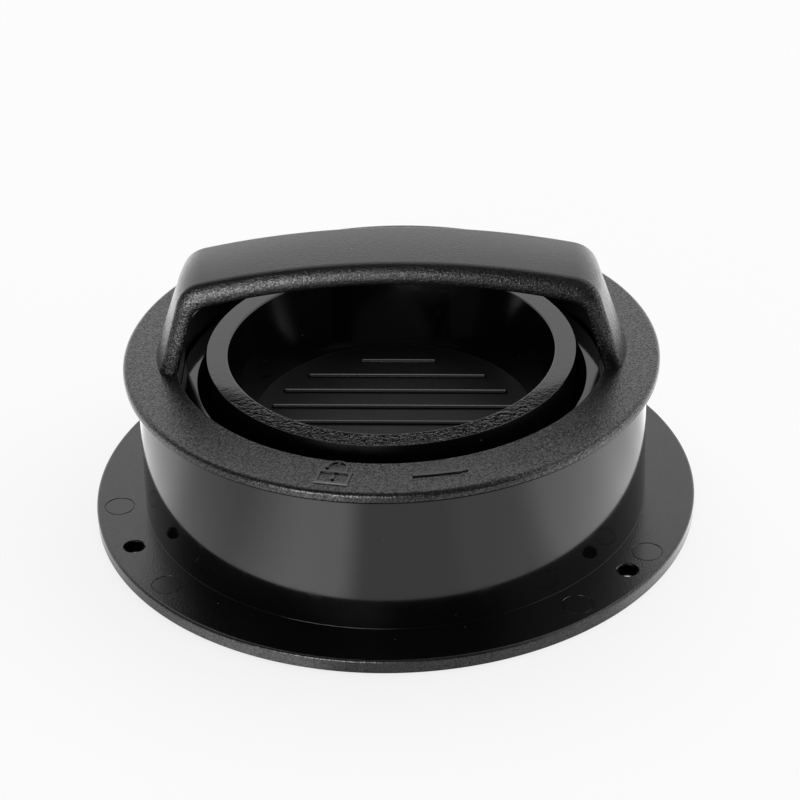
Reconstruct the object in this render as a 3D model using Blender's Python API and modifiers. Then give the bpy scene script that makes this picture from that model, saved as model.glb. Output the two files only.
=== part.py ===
# Burger press: a moulded base with a wide flange, a lift-out base plate, and a
# press head in three twist-together mouldings (large press, handle ring, centre
# press). Metres, +Z up, origin on the axis at the underside of the flange.
# The handle arch runs along X. Every moulding is a separate closed solid.
import bpy
import bmesh
from math import radians, degrees, sin, cos, tan, sqrt, pi, atan2, hypot
from mathutils import Matrix, Vector

MM = 0.001
STEPS = 72            # facets round a full turn (a multiple of 4)
ARC_STEP = 5.0        # degrees per facet on short arcs

# ---------------------------------------------------------------- dimensions, mm
FLANGE_R = 77.5       # base flange
FLANGE_T = 3.7
HOLE_D = 5.2          # three fixing holes
HOLE_R = 71.2
HOLE_ANGLES = (203.7, 324.4, 84.0)

WALL_R_FOOT = 64.8    # base wall, outside, at the flange
WALL_R_TOP = 64.3
WALL_TOP_Z = 41.2
BORE_R_FOOT = 61.5    # base wall, inside
BORE_R_TOP = 61.8
LEDGE_R = 52.0        # opening under the base plate
LEDGE_T = 2.4

PLATE_R = 61.1        # lift-out base plate
PLATE_Z0 = 2.7
PLATE_Z1 = 4.9
PLATE_RIM_R = 51.4    # locating rim that drops into the ledge opening
PLATE_RIM_T = 2.0
PLATE_RIM_Z = 0.9

RIDGE_PITCH = 7.75    # grill ridges on every meat face
RIDGE_W = 1.6
RIDGE_H = 1.2

PRESS_Z0 = 21.4       # underside of both presses, without ridges
PRESS_T = 2.4
SKIRT_R = 61.1        # large press skirt, outside
SKIRT_T = 2.0
SKIRT_TOP_Z = 41.1
COLLAR_TOP_Z = 30.0   # large press inner collar

CUP_FLOOR_R = 36.0    # centre press, inside, at the floor
CUP_FLOOR_Z = 23.8
CUP_MOUTH_R = 41.3    # centre press, inside, at the rim
RIM_Z = 44.0
RIM_R = 46.6          # outer edge of the rim
SHELF_R0 = 49.1       # shelf round the centre press
SHELF_R1 = 53.7
SHELF_Z = 36.9
SHELF_T = 2.0
CUP_WALL = 2.4
CUP_GAP = 0.6         # running gap between the centre press and the collar
CUP_YAW = -2.0        # the centre press sits slightly off its home position
RIB_X = 32.0          # the floor ribs end on an ellipse
RIB_Y = 28.6

RING_TOP_Z = 44.0     # handle ring
RING_Z0 = 41.5
RING_R = 67.6
RING_EDGE_R = 1.3     # rounding of the ring's top outer edge
RING_EDGE_Z = 41.1    # lip that hangs over the top of the base wall
RING_EDGE_T = 1.7
RING_BORE_R = 54.3
LIP_Z = 37.2
NECK_R0 = 55.6        # collar that carries the bayonet lugs
NECK_R1 = 57.2
NECK_Z = 32.6

TAB_ANGLES = (45.0, 135.0, 225.0, 315.0)
TAB_SPAN = 30.0       # bayonet tab, degrees
LUG_SPAN = 26.0       # bayonet lug, degrees

ARCH_TOP_Z = 72.6     # edge of the handle arch at mid span
ARCH_R_OUT = 222.0
ARCH_IN_Z = 67.8
ARCH_R_IN = 190.0
ARCH_FOOT_X_OUT = 57.8
ARCH_FOOT_X_IN = 53.0
ARCH_SLOPE_OUT = 0.315
ARCH_SLOPE_IN = 0.29
ARCH_FILLET_OUT = 8.0
ARCH_FILLET_IN = 5.0
ARCH_W_TOP = 11.1     # half width across the hand grip
ARCH_W_FOOT = 12.1
ARCH_LIP = 2.0        # lips left beside the shallow hollow under the grip
ARCH_FLOOR = 2.2      # wall left over the hollow
ARCH_HOLLOW = 2.8     # its greatest depth
ARCH_CROWN_TOP = 0.8
ARCH_CROWN_FOOT = 1.5
FOOT_PAD_Z = 37.6     # the feet run down the bore as flat pads

# ---------------------------------------------------------------- clean slate
for ob in list(bpy.data.objects):
    bpy.data.objects.remove(ob, do_unlink=True)

PARTS = bpy.data.collections.new("burger_press")
TOOLS = bpy.data.collections.new("tool_bodies")
bpy.context.scene.collection.children.link(PARTS)
bpy.context.scene.collection.children.link(TOOLS)


def plastic(name, grey, roughness):
    mat = bpy.data.materials.new(name)
    mat.use_nodes = True
    bsdf = mat.node_tree.nodes["Principled BSDF"]
    bsdf.inputs["Base Color"].default_value = (grey, grey, grey, 1.0)
    bsdf.inputs["Roughness"].default_value = roughness
    bsdf.inputs["Metallic"].default_value = 0.0
    bsdf.inputs["IOR"].default_value = 1.5
    return mat


# ---------------------------------------------------------------- helpers
def link(ob, collection):
    collection.objects.link(ob)
    if collection is TOOLS:
        ob.hide_render = True
        ob.display_type = 'WIRE'
    return ob


def turned(name, profile, collection=None, steps=STEPS):
    """A closed (r, z) profile in mm turned about Z. It runs clockwise: out along
    the top, down the outer side, in along the underside."""
    mesh = bpy.data.meshes.new(name)
    pts = [(r * MM, 0.0, z * MM) for r, z in profile]
    closed = not (profile[0][0] == 0.0 and profile[-1][0] == 0.0)
    edges = [(i, i + 1) for i in range(len(pts) - 1)]
    if closed:
        edges.append((len(pts) - 1, 0))
    mesh.from_pydata(pts, edges, [])
    ob = link(bpy.data.objects.new(name, mesh), collection or TOOLS)
    mod = ob.modifiers.new("turn", 'SCREW')
    mod.axis = 'Z'
    mod.angle = 2 * pi
    mod.steps = steps
    mod.render_steps = steps
    mod.use_merge_vertices = True
    mod.merge_threshold = 0.00001
    mod.use_smooth_shade = True
    return ob


def outline(name, pts, z0, z1):
    """A flat outline in mm, extruded from z0 to z1, as a mesh."""
    cu = bpy.data.curves.new(name, 'CURVE')
    cu.dimensions = '2D'
    cu.fill_mode = 'BOTH'
    cu.extrude = (z1 - z0) * MM / 2
    cu.resolution_u = 1
    cu.render_resolution_u = 0
    sp = cu.splines.new('POLY')
    sp.points.add(len(pts) - 1)
    for p, (x, y) in zip(sp.points, pts):
        p.co = (x * MM, y * MM, 0.0, 1.0)
    sp.use_cyclic_u = True
    cob = link(bpy.data.objects.new(name + "_outline", cu), TOOLS)
    cob.location.z = (z0 + z1) * MM / 2
    bpy.context.view_layer.update()
    deps = bpy.context.evaluated_depsgraph_get()
    mesh = bpy.data.meshes.new_from_object(cob.evaluated_get(deps))
    mesh.transform(cob.matrix_world)
    bpy.data.objects.remove(cob, do_unlink=True)
    bm = bmesh.new()
    bm.from_mesh(mesh)
    bmesh.ops.remove_doubles(bm, verts=bm.verts, dist=1e-6)
    bmesh.ops.recalc_face_normals(bm, faces=bm.faces)
    bm.to_mesh(mesh)
    bm.free()
    return mesh


def arc_points(r0, r1, a0, a1):
    n = max(2, int(round(abs(a1 - a0) / ARC_STEP)))
    inner = [(r0 * cos(radians(a0 + (a1 - a0) * i / n)),
              r0 * sin(radians(a0 + (a1 - a0) * i / n))) for i in range(n + 1)]
    outer = [(r1 * cos(radians(a0 + (a1 - a0) * i / n)),
              r1 * sin(radians(a0 + (a1 - a0) * i / n))) for i in range(n + 1)]
    return outer + inner[::-1]


def arc_block(r0, r1, z0, z1, mid, span):
    return outline("arc", arc_points(r0, r1, mid - span / 2, mid + span / 2), z0, z1)


def bar(x0, x1, y0, y1, z0, z1, yaw=0.0):
    """A straight bar between two corners, turned about Z."""
    bm = bmesh.new()
    bmesh.ops.create_cube(bm, size=1.0)
    size = Matrix.Diagonal(((x1 - x0) * MM, (y1 - y0) * MM, (z1 - z0) * MM, 1.0))
    place = Matrix.Translation(((x0 + x1) * MM / 2, (y0 + y1) * MM / 2, (z0 + z1) * MM / 2))
    bmesh.ops.transform(bm, matrix=Matrix.Rotation(radians(yaw), 4, 'Z') @ place @ size,
                        verts=bm.verts)
    mesh = bpy.data.meshes.new("bar")
    bm.to_mesh(mesh)
    bm.free()
    return mesh


def ridge(x0, x1, y, z_base, z_tip, width, yaw=0.0, draft=0.35):
    """A grill ridge along X with drafted sides; its base sits inside the wall."""
    mesh = bar(x0, x1, y - width / 2, y + width / 2, min(z_base, z_tip),
               max(z_base, z_tip))
    bm = bmesh.new()
    bm.from_mesh(mesh)
    for v in bm.verts:
        if abs(v.co.z / MM - z_tip) < 1e-3:
            v.co.y += (draft if v.co.y / MM < y else -draft) * MM
            v.co.x += (draft if v.co.x < 0.5 * (x0 + x1) * MM else -draft) * MM
    bmesh.ops.transform(bm, matrix=Matrix.Rotation(radians(yaw), 4, 'Z'), verts=bm.verts)
    bm.to_mesh(mesh)
    bm.free()
    return mesh


def pin(r, z0, z1, x, y, sides=24):
    bm = bmesh.new()
    bmesh.ops.create_cone(bm, cap_ends=True, segments=sides, radius1=r * MM,
                          radius2=r * MM, depth=(z1 - z0) * MM,
                          matrix=Matrix.Translation((x * MM, y * MM, (z0 + z1) * MM / 2)))
    mesh = bpy.data.meshes.new("pin")
    bm.to_mesh(mesh)
    bm.free()
    return mesh


def tool(name, meshes):
    """Several separate closed shapes as one Boolean operand."""
    bm = bmesh.new()
    for m in meshes:
        bm.from_mesh(m)
    mesh = bpy.data.meshes.new(name)
    bm.to_mesh(mesh)
    bm.free()
    for m in meshes:
        bpy.data.meshes.remove(m)
    return link(bpy.data.objects.new(name, mesh), TOOLS)


def boolean(ob, other, operation):
    mod = ob.modifiers.new(operation.lower(), 'BOOLEAN')
    mod.operation = operation
    mod.solver = 'EXACT'
    mod.object = other
    return mod


def finish(ob, name, material):
    """Bake the modifiers, shade the round faces smooth and name the part."""
    bpy.context.view_layer.update()
    deps = bpy.context.evaluated_depsgraph_get()
    mesh = bpy.data.meshes.new_from_object(ob.evaluated_get(deps))
    bm = bmesh.new()
    bm.from_mesh(mesh)
    bmesh.ops.remove_doubles(bm, verts=bm.verts, dist=2e-6)
    bmesh.ops.dissolve_degenerate(bm, edges=bm.edges, dist=2e-6)
    bm.to_mesh(mesh)
    bm.free()
    mesh.shade_smooth()
    mesh.set_sharp_from_angle(angle=radians(32))
    mesh.materials.clear()
    mesh.materials.append(material)
    mesh.name = name
    part = bpy.data.objects.new(name, mesh)
    PARTS.objects.link(part)
    return part


def ridge_rows(radius, clear_of=0.0, yaw=0.0, z_base=0.0, z_tip=0.0, rows=7):
    """Ridges every RIDGE_PITCH inside a circle, split round a central hole."""
    out = []
    for k in range(-rows, rows + 1):
        y = k * RIDGE_PITCH
        if abs(y) > radius - 6:
            continue
        x1 = sqrt(radius ** 2 - y ** 2) - 1.0
        x0 = sqrt(max(clear_of ** 2 - y ** 2, 0.0)) + 1.0 if clear_of > abs(y) else 0.0
        if x0 > 0.0:
            if x1 - x0 > 3.0:
                out.append(ridge(x0, x1, y, z_base, z_tip, RIDGE_W, yaw))
                out.append(ridge(-x1, -x0, y, z_base, z_tip, RIDGE_W, yaw))
        else:
            out.append(ridge(-x1, x1, y, z_base, z_tip, RIDGE_W, yaw))
    return out


MAT_BASE = plastic("gloss_black_base", 0.012, 0.22)
MAT_PLATE = plastic("gloss_black_plate", 0.012, 0.25)
MAT_PRESS = plastic("gloss_black_press", 0.013, 0.25)
MAT_HANDLE = plastic("textured_black_handle", 0.016, 0.48)
MAT_CENTRE = plastic("gloss_black_centre", 0.011, 0.15)

# ---------------------------------------------------------------- base mould
base = turned("base_body", [
    (BORE_R_TOP, WALL_TOP_Z), (WALL_R_TOP, WALL_TOP_Z),
    (WALL_R_FOOT, FLANGE_T), (FLANGE_R - 0.4, FLANGE_T), (FLANGE_R, FLANGE_T - 0.4),
    (FLANGE_R, 0.5), (FLANGE_R - 0.5, 0.0),
    (LEDGE_R, 0.0), (LEDGE_R, LEDGE_T), (BORE_R_FOOT, LEDGE_T)])
holes = tool("flange_holes", [
    pin(HOLE_D / 2, -2.0, FLANGE_T + 2.0,
        HOLE_R * cos(radians(a)), HOLE_R * sin(radians(a))) for a in HOLE_ANGLES])
boolean(base, holes, 'DIFFERENCE')
finish(base, "base_mould", MAT_BASE)

# ---------------------------------------------------------------- base plate
plate = turned("plate_body", [
    (0.0, PLATE_Z1), (PLATE_R, PLATE_Z1), (PLATE_R, PLATE_Z0),
    (PLATE_RIM_R, PLATE_Z0), (PLATE_RIM_R, PLATE_RIM_Z),
    (PLATE_RIM_R - PLATE_RIM_T, PLATE_RIM_Z), (PLATE_RIM_R - PLATE_RIM_T, PLATE_Z0),
    (0.0, PLATE_Z0)])
plate_ridges = tool("plate_ridges", ridge_rows(
    57.0, z_base=PLATE_Z1 - 0.8, z_tip=PLATE_Z1 + RIDGE_H))
boolean(plate, plate_ridges, 'UNION')
finish(plate, "base_plate", MAT_PLATE)


# ---------------------------------------------------------------- large press
def cup_out(z):
    """Outer radius of the centre press's cone at height z."""
    slope = (CUP_MOUTH_R - CUP_FLOOR_R) / (RIM_Z - CUP_FLOOR_Z)
    return CUP_FLOOR_R + CUP_WALL + slope * (z - CUP_FLOOR_Z)


press = turned("press_body", [
    (SKIRT_R - SKIRT_T, SKIRT_TOP_Z), (SKIRT_R, SKIRT_TOP_Z),
    (SKIRT_R, PRESS_Z0 + 0.6), (SKIRT_R - 0.6, PRESS_Z0),
    (cup_out(PRESS_Z0) + CUP_GAP, PRESS_Z0),
    (cup_out(COLLAR_TOP_Z) + CUP_GAP, COLLAR_TOP_Z),
    (cup_out(COLLAR_TOP_Z) + CUP_GAP + 1.8, COLLAR_TOP_Z),
    (cup_out(PRESS_Z0 + PRESS_T) + CUP_GAP + 2.0, PRESS_Z0 + PRESS_T),
    (SKIRT_R - SKIRT_T, PRESS_Z0 + PRESS_T)])
# the stops the handle's lugs turn against, the bayonet tabs on the skirt, and the
# stiffening ribs between the collar and the skirt
press_stops = [arc_block(57.8, SKIRT_R - SKIRT_T + 0.6, 33.2, 37.2, a - TAB_SPAN / 2 - 0.3, 2.4)
               for a in TAB_ANGLES]
press_tabs = [arc_block(57.6, SKIRT_R - SKIRT_T + 0.7, 36.6, 38.4, a, TAB_SPAN)
              for a in TAB_ANGLES]
press_ribs = [bar(43.0, 59.8, -0.7, 0.7, PRESS_Z0 + PRESS_T - 0.7, 29.2, 15.0 + 30.0 * k)
              for k in range(12)]
boolean(press, tool("press_stops", press_stops), 'UNION')
boolean(press, tool("press_tabs", press_tabs), 'UNION')
boolean(press, tool("press_ribs", press_ribs), 'UNION')
boolean(press, tool("press_ridges", ridge_rows(
    60.0, clear_of=cup_out(PRESS_Z0) + CUP_GAP, z_base=PRESS_Z0 + 0.7,
    z_tip=PRESS_Z0 - RIDGE_H)), 'UNION')
finish(press, "outer_press", MAT_PRESS)

# ---------------------------------------------------------------- handle ring
ring = turned("ring_body", [
    (RING_BORE_R, RING_TOP_Z - 0.25), (RING_BORE_R + 0.25, RING_TOP_Z),
    (RING_R - RING_EDGE_R, RING_TOP_Z), (RING_R - 0.5 * RING_EDGE_R, RING_TOP_Z - 0.134 * RING_EDGE_R),
    (RING_R - 0.134 * RING_EDGE_R, RING_TOP_Z - 0.5 * RING_EDGE_R), (RING_R, RING_TOP_Z - RING_EDGE_R),
    (RING_R, RING_EDGE_Z + 0.6), (RING_R - 0.35, RING_EDGE_Z),
    (RING_R - RING_EDGE_T, RING_EDGE_Z), (RING_R - RING_EDGE_T - 0.1, RING_Z0),
    (NECK_R1, RING_Z0), (NECK_R1, NECK_Z),
    (NECK_R0, NECK_Z), (NECK_R0, LIP_Z), (RING_BORE_R, LIP_Z)])


def fillet_path(foot, direction, arc_z, arc_r, fillet, n_leg, n_fillet, n_arc, foot_z):
    """Half of the arch outline in X-Z, from the foot to mid span: a straight leg,
    a corner fillet and a shallow top arc, joined tangentially."""
    # leg: x = foot - slope*(z - RING_TOP_Z); arc centre on X = 0
    slope = direction
    cz = arc_z - arc_r
    ln = hypot(1.0, slope)
    # fillet centre lies a fillet radius inside both the leg line and the arc
    # leg line normal (pointing inward, -x): distance condition
    rr = arc_r - fillet
    lo, hi = RING_TOP_Z, arc_z
    for _ in range(60):
        z = 0.5 * (lo + hi)
        x = foot - slope * (z - RING_TOP_Z) - fillet * ln
        if hypot(x, z - cz) > rr:
            hi = z
        else:
            lo = z
    fx, fz = x, z
    a0 = atan2(slope, 1.0)                      # normal of the leg
    a1 = atan2(fz - cz, fx)                     # normal of the arc
    leg_top = (fx + fillet * cos(a0), fz + fillet * sin(a0))
    pts = []
    for i in range(n_leg):
        t = i / n_leg
        z = foot_z + (leg_top[1] - foot_z) * t
        pts.append((foot - slope * (z - RING_TOP_Z), z))
    for i in range(n_fillet + 1):
        a = a0 + (a1 - a0) * i / n_fillet
        pts.append((fx + fillet * cos(a), fz + fillet * sin(a)))
    for i in range(1, n_arc + 1):
        a = a1 + (pi / 2 - a1) * i / n_arc
        pts.append((arc_r * cos(a), cz + arc_r * sin(a)))
    return pts


N_LEG, N_FIL, N_ARC = 4, 5, 7
outer_half = fillet_path(ARCH_FOOT_X_OUT, ARCH_SLOPE_OUT, ARCH_TOP_Z, ARCH_R_OUT,
                         ARCH_FILLET_OUT, N_LEG, N_FIL, N_ARC, RING_TOP_Z)
inner_half = fillet_path(ARCH_FOOT_X_IN, ARCH_SLOPE_IN, ARCH_IN_Z, ARCH_R_IN,
                         ARCH_FILLET_IN, N_LEG, N_FIL, N_ARC, RING_TOP_Z)
# below the ring's top face the foot narrows into a flat pad down the bore
outer_half = [(55.4, FOOT_PAD_Z), (55.4, RING_TOP_Z - 1.6),
              (ARCH_FOOT_X_OUT, RING_TOP_Z - 1.2)] + outer_half
inner_half = [(ARCH_FOOT_X_IN, FOOT_PAD_Z), (ARCH_FOOT_X_IN, RING_TOP_Z - 1.6),
              (ARCH_FOOT_X_IN, RING_TOP_Z - 1.2)] + inner_half


def half_width(z):
    t = min(max((ARCH_TOP_Z - z) / (ARCH_TOP_Z - RING_TOP_Z), 0.0), 1.0)
    return ARCH_W_TOP + (ARCH_W_FOOT - ARCH_W_TOP) * t


def arch_half(w_o, w_i, t, crown, fall):
    """Half of the strap section as (half width, height above the inner face): a nearly
    flat top, a round shoulder, a slightly convex side and a shallow hollow underneath.
    fall is the part of the crown that is lost before the shoulder."""
    te = t + crown * (1 - fall)
    r1 = min(1.8, 0.34 * te)
    a1, a2 = radians(32.0), radians(-10.0)
    r2 = (te - r1 + r1 * sin(a1) - 0.42) / (sin(a1) - sin(a2))
    flat = w_o - r1 * cos(a1) - r2 * (1 - cos(a1))
    pts = [(flat * k / 3, t + crown * (1 - fall * (k / 3) ** 2)) for k in range(3)]
    for k in range(4):
        a = pi / 2 + (a1 - pi / 2) * k / 3
        pts.append((flat + r1 * cos(a), te - r1 + r1 * sin(a)))
    y1, z1 = pts[-1]
    for k in range(1, 4):
        a = a1 + (a2 - a1) * k / 3
        pts.append((y1 + r2 * (cos(a) - cos(a1)), z1 + r2 * (sin(a) - sin(a1))))
    pts.append((pts[-1][0] - 0.38, 0.0))
    pts = [(y + (w_i - w_o) * (1 - z / te), z) for y, z in pts]
    yc = pts[-1][0] + 0.38 - ARCH_LIP
    d = max(0.15, min(t - ARCH_FLOOR, ARCH_HOLLOW))
    pts += [(yc + 0.05, 0.0), (yc - 0.1, 0.75 * d), (yc - 0.65, d), (yc * 0.3, d)]
    return pts


def arch_section(o, i):
    """The strap section between outer point o and inner point i."""
    ox, oz = o
    ix, iz = i
    t = hypot(ox - ix, oz - iz)
    nx, nz = (ox - ix) / t, (oz - iz) / t
    high = min(max((oz - RING_TOP_Z) / (ARCH_TOP_Z - RING_TOP_Z), 0.0), 1.0)
    crown = ARCH_CROWN_FOOT + (ARCH_CROWN_TOP - ARCH_CROWN_FOOT) * high
    if oz < RING_TOP_Z - 1.4:
        crown = 0.3
    hp = arch_half(half_width(oz), half_width(iz), t, crown, 1.0 - 0.7 * high ** 2)
    ring_pts = hp + [(-y, d) for y, d in hp[:0:-1]]
    return [(ix + nx * d, y, iz + nz * d) for y, d in ring_pts]


half = [arch_section(o, i) for o, i in zip(outer_half, inner_half)]
stations = half + [[(-x, y, z) for x, y, z in s] for s in half[-2::-1]]
bm = bmesh.new()
loops = [[bm.verts.new((x * MM, y * MM, z * MM)) for x, y, z in s] for s in stations]
count = len(loops[0])
for a, b in zip(loops, loops[1:]):
    for k in range(count):
        bm.faces.new((a[k], a[(k + 1) % count], b[(k + 1) % count], b[k]))
bm.faces.new(loops[0])
bm.faces.new(loops[-1][::-1])
bmesh.ops.recalc_face_normals(bm, faces=bm.faces)
arch_mesh = bpy.data.meshes.new("arch_body")
bm.to_mesh(arch_mesh)
bm.free()
arch = link(bpy.data.objects.new("arch_body", arch_mesh), TOOLS)
boolean(ring, arch, 'UNION')

lugs = []
for a in TAB_ANGLES:
    lugs.append(arc_block(NECK_R1 - 0.7, 58.6, 33.6, 36.2, a, LUG_SPAN))
boolean(ring, tool("ring_lugs", lugs), 'UNION')
tabs = []
for a in TAB_ANGLES:
    tabs.append(arc_block(54.0, NECK_R0 + 0.7, NECK_Z + 0.1, 34.4, a, TAB_SPAN))
boolean(ring, tool("ring_tabs", tabs), 'UNION')
stops = []
for a in TAB_ANGLES:
    stops.append(arc_block(54.2, NECK_R0 + 0.6, 33.7, 36.6, a + TAB_SPAN / 2 + 0.3, 2.4))
boolean(ring, tool("ring_stops", stops), 'UNION')
finish(ring, "handle_ring", MAT_HANDLE)

# ---------------------------------------------------------------- centre press
cup = turned("cup_body", [
    (0.0, CUP_FLOOR_Z), (CUP_FLOOR_R, CUP_FLOOR_Z),
    (CUP_MOUTH_R - 0.1, RIM_Z - 0.4), (CUP_MOUTH_R + 0.3, RIM_Z),
    (RIM_R - 0.5, RIM_Z), (RIM_R + 0.1, RIM_Z - 0.5),
    (SHELF_R0, SHELF_Z), (SHELF_R1, SHELF_Z), (SHELF_R1, SHELF_Z - SHELF_T),
    (SHELF_R0 - 1.5, SHELF_Z - SHELF_T),
    (RIM_R - 1.3, RIM_Z - 2.2), (cup_out(RIM_Z - 2.2), RIM_Z - 2.2),
    (cup_out(PRESS_Z0 + 0.3), PRESS_Z0 + 0.3), (cup_out(PRESS_Z0) - 0.4, PRESS_Z0),
    (0.0, PRESS_Z0)])
lugs = [arc_block(SHELF_R1 - 0.8, 55.3, SHELF_Z - SHELF_T + 0.1, SHELF_Z - 0.1,
                  a + CUP_YAW, LUG_SPAN) for a in TAB_ANGLES]
boolean(cup, tool("cup_lugs", lugs), 'UNION')
gussets = [bar(41.0, 46.2, -0.7, 0.7, 36.4, RIM_Z - 1.6, CUP_YAW + 22.5 + 45.0 * k)
           for k in range(8)]
boolean(cup, tool("cup_gussets", gussets), 'UNION')
boolean(cup, tool("cup_ridges", ridge_rows(
    cup_out(PRESS_Z0) - 0.4, yaw=CUP_YAW, z_base=PRESS_Z0 + 0.7,
    z_tip=PRESS_Z0 - RIDGE_H)), 'UNION')
floor_ribs = []
for k in range(-4, 4):
    y = (k + 0.5) * RIDGE_PITCH
    x = RIB_X * sqrt(1.0 - (y / RIB_Y) ** 2)
    floor_ribs.append(ridge(-x, x, y, CUP_FLOOR_Z - 0.7, CUP_FLOOR_Z + 0.75, 1.55,
                            CUP_YAW, 0.3))
boolean(cup, tool("cup_floor_ribs", floor_ribs), 'UNION')
finish(cup, "centre_press", MAT_CENTRE)
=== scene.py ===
import bpy
import bmesh
from math import radians, sin, cos, tan, sqrt, pi, atan2, hypot
from mathutils import Matrix, Vector


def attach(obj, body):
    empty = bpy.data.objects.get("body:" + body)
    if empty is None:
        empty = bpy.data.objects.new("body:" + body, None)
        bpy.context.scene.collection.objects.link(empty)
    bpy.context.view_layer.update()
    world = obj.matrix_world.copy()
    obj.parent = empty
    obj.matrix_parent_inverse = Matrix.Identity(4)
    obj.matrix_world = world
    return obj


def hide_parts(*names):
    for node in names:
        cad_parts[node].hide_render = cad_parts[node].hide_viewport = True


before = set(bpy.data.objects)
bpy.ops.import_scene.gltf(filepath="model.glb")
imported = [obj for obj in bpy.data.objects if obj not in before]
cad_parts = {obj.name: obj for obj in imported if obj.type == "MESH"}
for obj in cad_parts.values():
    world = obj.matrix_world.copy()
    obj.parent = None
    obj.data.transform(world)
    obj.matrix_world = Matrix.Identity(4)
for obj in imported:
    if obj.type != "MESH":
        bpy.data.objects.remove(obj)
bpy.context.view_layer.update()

MM = 0.001
N_TURN = 288
scene = bpy.context.scene

# ============================================================ dimensions, mm (the CAD's)
FLANGE_R, FLANGE_T = 77.5, 3.7
HOLE_D, HOLE_R = 5.2, 71.2
HOLE_ANGLES = (203.7, 324.4, 84.0)
PIN_D, PIN_R = 7.8, 71.6
PIN_ANGLES = (188.3, 219.4, 308.9, 331.9, 68.6, 99.2)
WALL_R_FOOT, WALL_R_TOP, WALL_TOP_Z = 64.8, 64.3, 41.2
BORE_R_FOOT, BORE_R_TOP = 61.5, 61.8
LEDGE_R, LEDGE_T = 52.0, 2.4
PLATE_R, PLATE_Z0, PLATE_Z1 = 61.1, 2.7, 4.9
PLATE_RIM_R, PLATE_RIM_T, PLATE_RIM_Z = 51.4, 2.0, 0.9
RIDGE_PITCH, RIDGE_W, RIDGE_H = 7.75, 1.6, 1.2
PRESS_Z0, PRESS_T = 21.4, 2.4
SKIRT_R, SKIRT_T, SKIRT_TOP_Z, COLLAR_TOP_Z = 61.1, 2.0, 41.1, 30.0
CUP_FLOOR_R, CUP_FLOOR_Z, CUP_MOUTH_R = 36.0, 23.8, 41.3
RIM_Z, RIM_R = 44.0, 46.6
RIB_X, RIB_Y = 32.0, 28.6
SHELF_R0, SHELF_R1, SHELF_Z, SHELF_T = 49.1, 53.7, 36.9, 2.0
CUP_WALL, CUP_GAP, CUP_YAW = 2.4, 0.6, -2.0
RING_TOP_Z, RING_Z0, RING_R, RING_BORE_R = 44.0, 41.5, 67.6, 54.3
RING_EDGE_R, RING_EDGE_Z, RING_EDGE_T = 1.3, 41.1, 1.7
LIP_Z, NECK_R0, NECK_R1, NECK_Z = 37.2, 55.6, 57.2, 32.6
TAB_ANGLES, TAB_SPAN, LUG_SPAN = (45.0, 135.0, 225.0, 315.0), 30.0, 26.0
ARCH_TOP_Z, ARCH_R_OUT, ARCH_IN_Z, ARCH_R_IN = 72.6, 222.0, 67.8, 190.0
ARCH_FOOT_X_OUT, ARCH_FOOT_X_IN = 57.8, 53.0
ARCH_SLOPE_OUT, ARCH_SLOPE_IN = 0.315, 0.29
ARCH_FILLET_OUT, ARCH_FILLET_IN = 8.0, 5.0
ARCH_W_TOP, ARCH_W_FOOT = 11.1, 12.1
ARCH_LIP, ARCH_FLOOR, ARCH_HOLLOW = 2.0, 2.2, 2.8
ARCH_CROWN_TOP, ARCH_CROWN_FOOT, FOOT_PAD_Z = 0.8, 1.5, 37.6

# ============================================================ materials
def new_mat(name):
    m = bpy.data.materials.new(name)
    m.use_nodes = True
    nt = m.node_tree
    bsdf = nt.nodes["Principled BSDF"]
    return m, nt, bsdf


def node(nt, kind, **kw):
    n = nt.nodes.new(kind)
    for k, v in kw.items():
        setattr(n, k, v)
    return n


def coords(nt, scale=1.0):
    tc = node(nt, "ShaderNodeTexCoord")
    mp = node(nt, "ShaderNodeMapping")
    mp.inputs["Scale"].default_value = (scale, scale, scale)
    nt.links.new(tc.outputs["Object"], mp.inputs["Vector"])
    return mp.outputs["Vector"]


def noise(nt, vec, scale, detail=2.0, rough=0.5, dist=0.0):
    n = node(nt, "ShaderNodeTexNoise")
    n.inputs["Scale"].default_value = scale
    n.inputs["Detail"].default_value = detail
    n.inputs["Roughness"].default_value = rough
    n.inputs["Distortion"].default_value = dist
    nt.links.new(vec, n.inputs["Vector"])
    return n.outputs["Fac"]


def remap(nt, val, a, b, c, d, smooth=False):
    n = node(nt, "ShaderNodeMapRange")
    n.inputs["From Min"].default_value = a
    n.inputs["From Max"].default_value = b
    n.inputs["To Min"].default_value = c
    n.inputs["To Max"].default_value = d
    if smooth:
        n.interpolation_type = 'SMOOTHSTEP'
    nt.links.new(val, n.inputs["Value"])
    return n.outputs["Result"]


def math(nt, op, a, b):
    n = node(nt, "ShaderNodeMath", operation=op)
    for i, v in enumerate((a, b)):
        if isinstance(v, (int, float)):
            n.inputs[i].default_value = v
        else:
            nt.links.new(v, n.inputs[i])
    return n.outputs[0]


def mix_grey(nt, fac, a, b):
    n = node(nt, "ShaderNodeMix", data_type='RGBA')
    n.inputs["A"].default_value = (*a, 1.0)
    n.inputs["B"].default_value = (*b, 1.0)
    nt.links.new(fac, n.inputs["Factor"])
    return n.outputs["Result"]


def bump(nt, height, distance, strength=1.0, normal=None):
    n = node(nt, "ShaderNodeBump")
    n.inputs["Strength"].default_value = strength
    n.inputs["Distance"].default_value = distance
    nt.links.new(height, n.inputs["Height"])
    if normal is not None:
        nt.links.new(normal, n.inputs["Normal"])
    return n.outputs["Normal"]


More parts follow.
